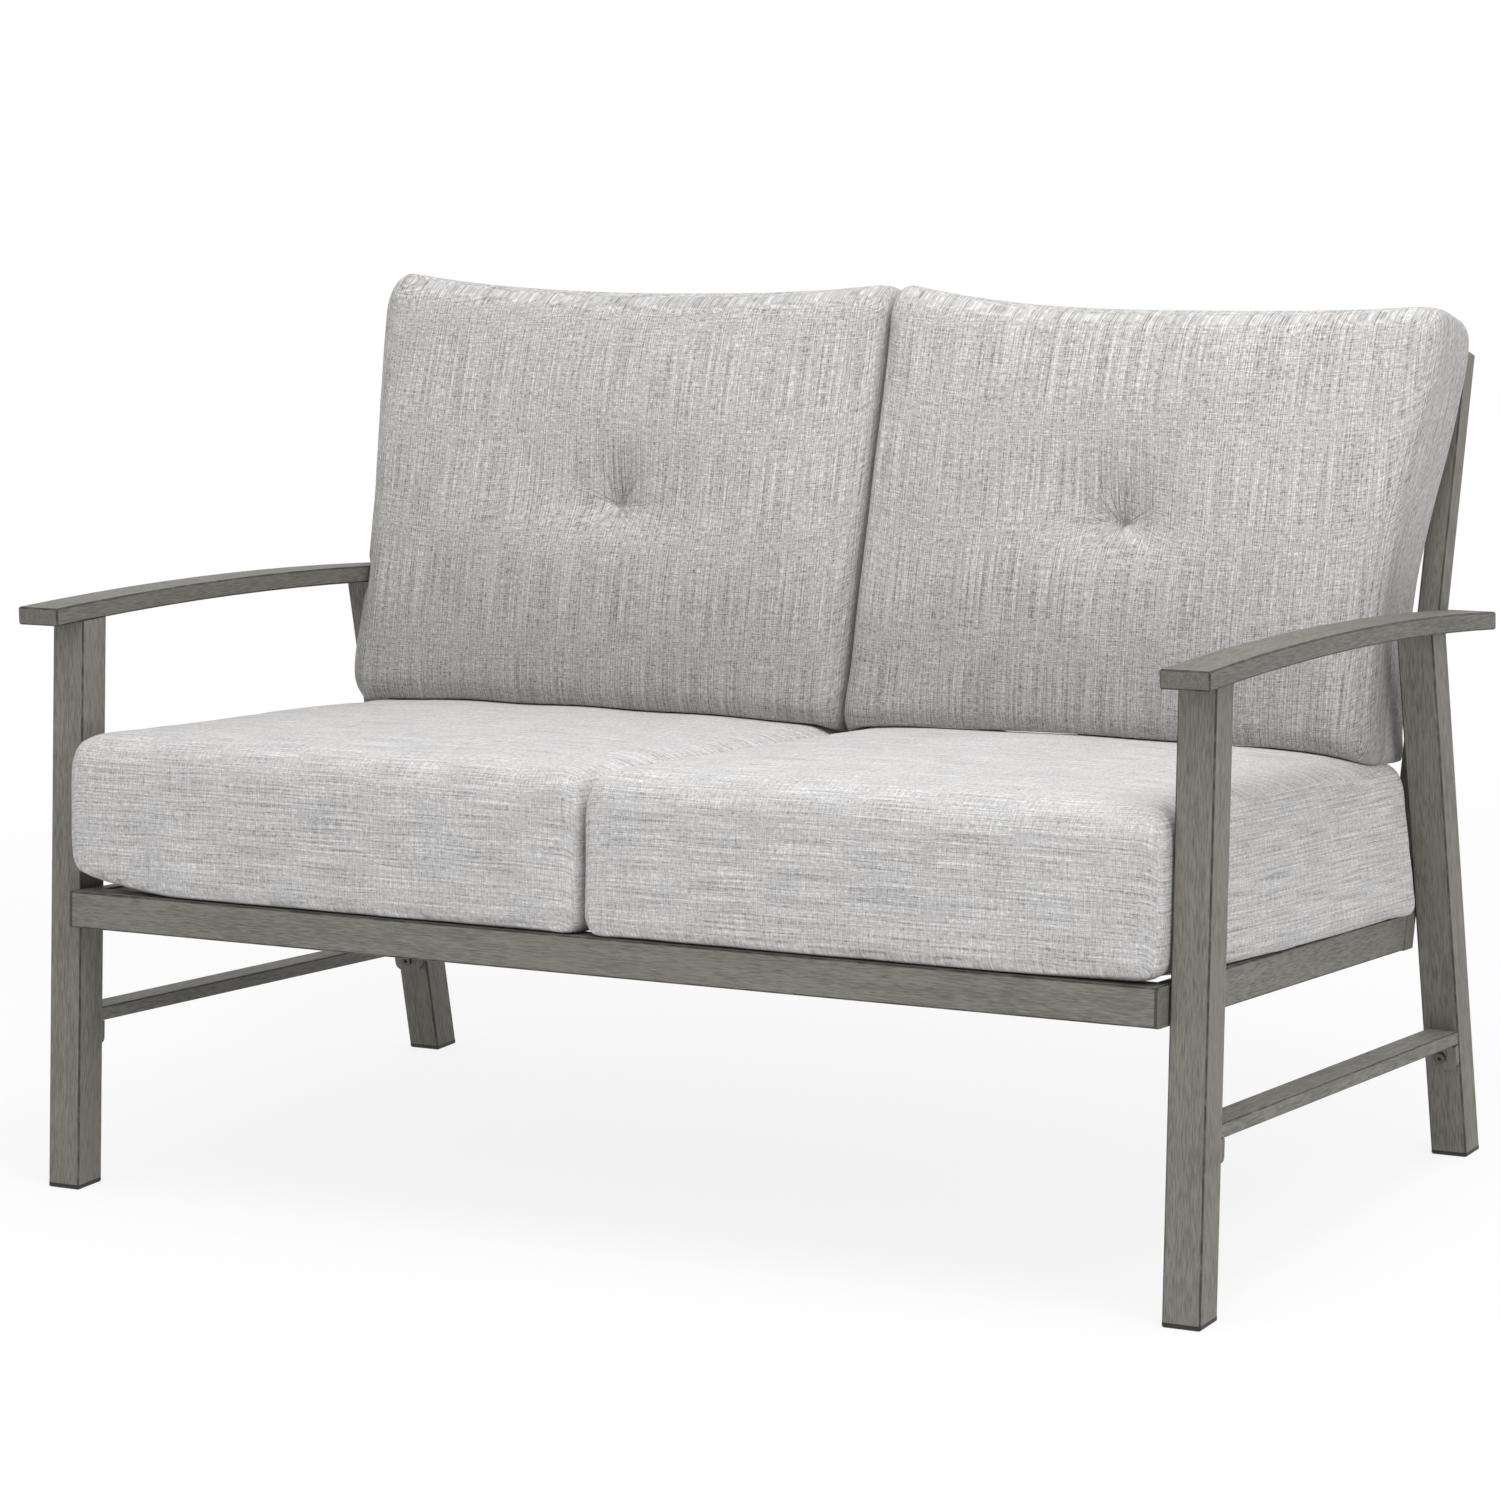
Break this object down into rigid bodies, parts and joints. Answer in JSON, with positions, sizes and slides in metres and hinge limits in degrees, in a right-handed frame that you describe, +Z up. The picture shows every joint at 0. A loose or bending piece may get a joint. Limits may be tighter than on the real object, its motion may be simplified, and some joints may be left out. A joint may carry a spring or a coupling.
{
  "type": "patio loveseat",
  "caption": "Two-seat outdoor sofa: leaning aluminium side frames with arched armrests, slatted seat and back frames, loose seat cushions and tufted back cushions.",
  "frame": {"origin": "on the floor, midway across the width and midway between the front feet and the top of the back", "axes": "+X to the right of someone facing the front of the seat along +Y, +Y from the front to the back, +Z up"},
  "size_m": [1.364, 0.8589, 0.915],
  "materials": {
    "frame_finish": "matte",
    "arm_finish": "matte",
    "slat_finish": "matte",
    "glide_plastic": "matte",
    "bolt_steel": "satin",
    "washer_steel": "satin",
    "seat_fabric": "matte",
    "back_fabric": "matte"
  },
  "bodies": {
    "frame": {"arm_bolts": "bolt_steel", "arm_l": "arm_finish", "arm_r": "arm_finish", "arm_washers": "washer_steel", "back_glide_l": "glide_plastic", "back_glide_r": "glide_plastic", "back_leg_l": "frame_finish", "back_leg_r": "frame_finish", "back_low_rail": "frame_finish", "back_post_l": "frame_finish", "back_post_r": "frame_finish", "back_rail": "frame_finish", "back_slats": "slat_finish", "back_tab_l": "frame_finish", "back_tab_r": "frame_finish", "back_top_rail": "frame_finish", "centre_beam": "slat_finish", "front_glide_l": "glide_plastic", "front_glide_r": "glide_plastic", "front_leg_l": "frame_finish", "front_leg_r": "frame_finish", "front_rail": "frame_finish", "front_rail_cap_l": "frame_finish", "front_rail_cap_r": "frame_finish", "front_tab_l": "frame_finish", "front_tab_r": "frame_finish", "post_bolts": "bolt_steel", "post_washers": "washer_steel", "rail_bolts": "bolt_steel", "rail_washers": "washer_steel", "seat_slats": "slat_finish", "side_rail_l": "frame_finish", "side_rail_r": "frame_finish", "stretcher_l": "frame_finish", "stretcher_r": "frame_finish", "tab_bolts": "bolt_steel"},
    "seat_cushion_l": {"seat_cushion_l": "seat_fabric"},
    "seat_cushion_r": {"seat_cushion_r": "seat_fabric"},
    "back_cushion_l": {"back_cushion_l": "back_fabric"},
    "back_cushion_r": {"back_cushion_r": "back_fabric"}
  },
  "joints": [
    {"name": "seat_cushion_out_l", "type": "slide", "parent": "frame", "child": "seat_cushion_l", "axis": [0, -0.9971, 0.0767], "range_m": [0, 0.68]},
    {"name": "back_cushion_lift_l", "type": "slide", "parent": "frame", "child": "back_cushion_l", "axis": [0, 0.2967, 0.955], "range_m": [0, 0.52]},
    {"name": "seat_cushion_out_r", "type": "slide", "parent": "frame", "child": "seat_cushion_r", "axis": [0, -0.9971, 0.0767], "range_m": [0, 0.68]},
    {"name": "back_cushion_lift_r", "type": "slide", "parent": "frame", "child": "back_cushion_r", "axis": [0, 0.2967, 0.955], "range_m": [0, 0.52]}
  ]
}
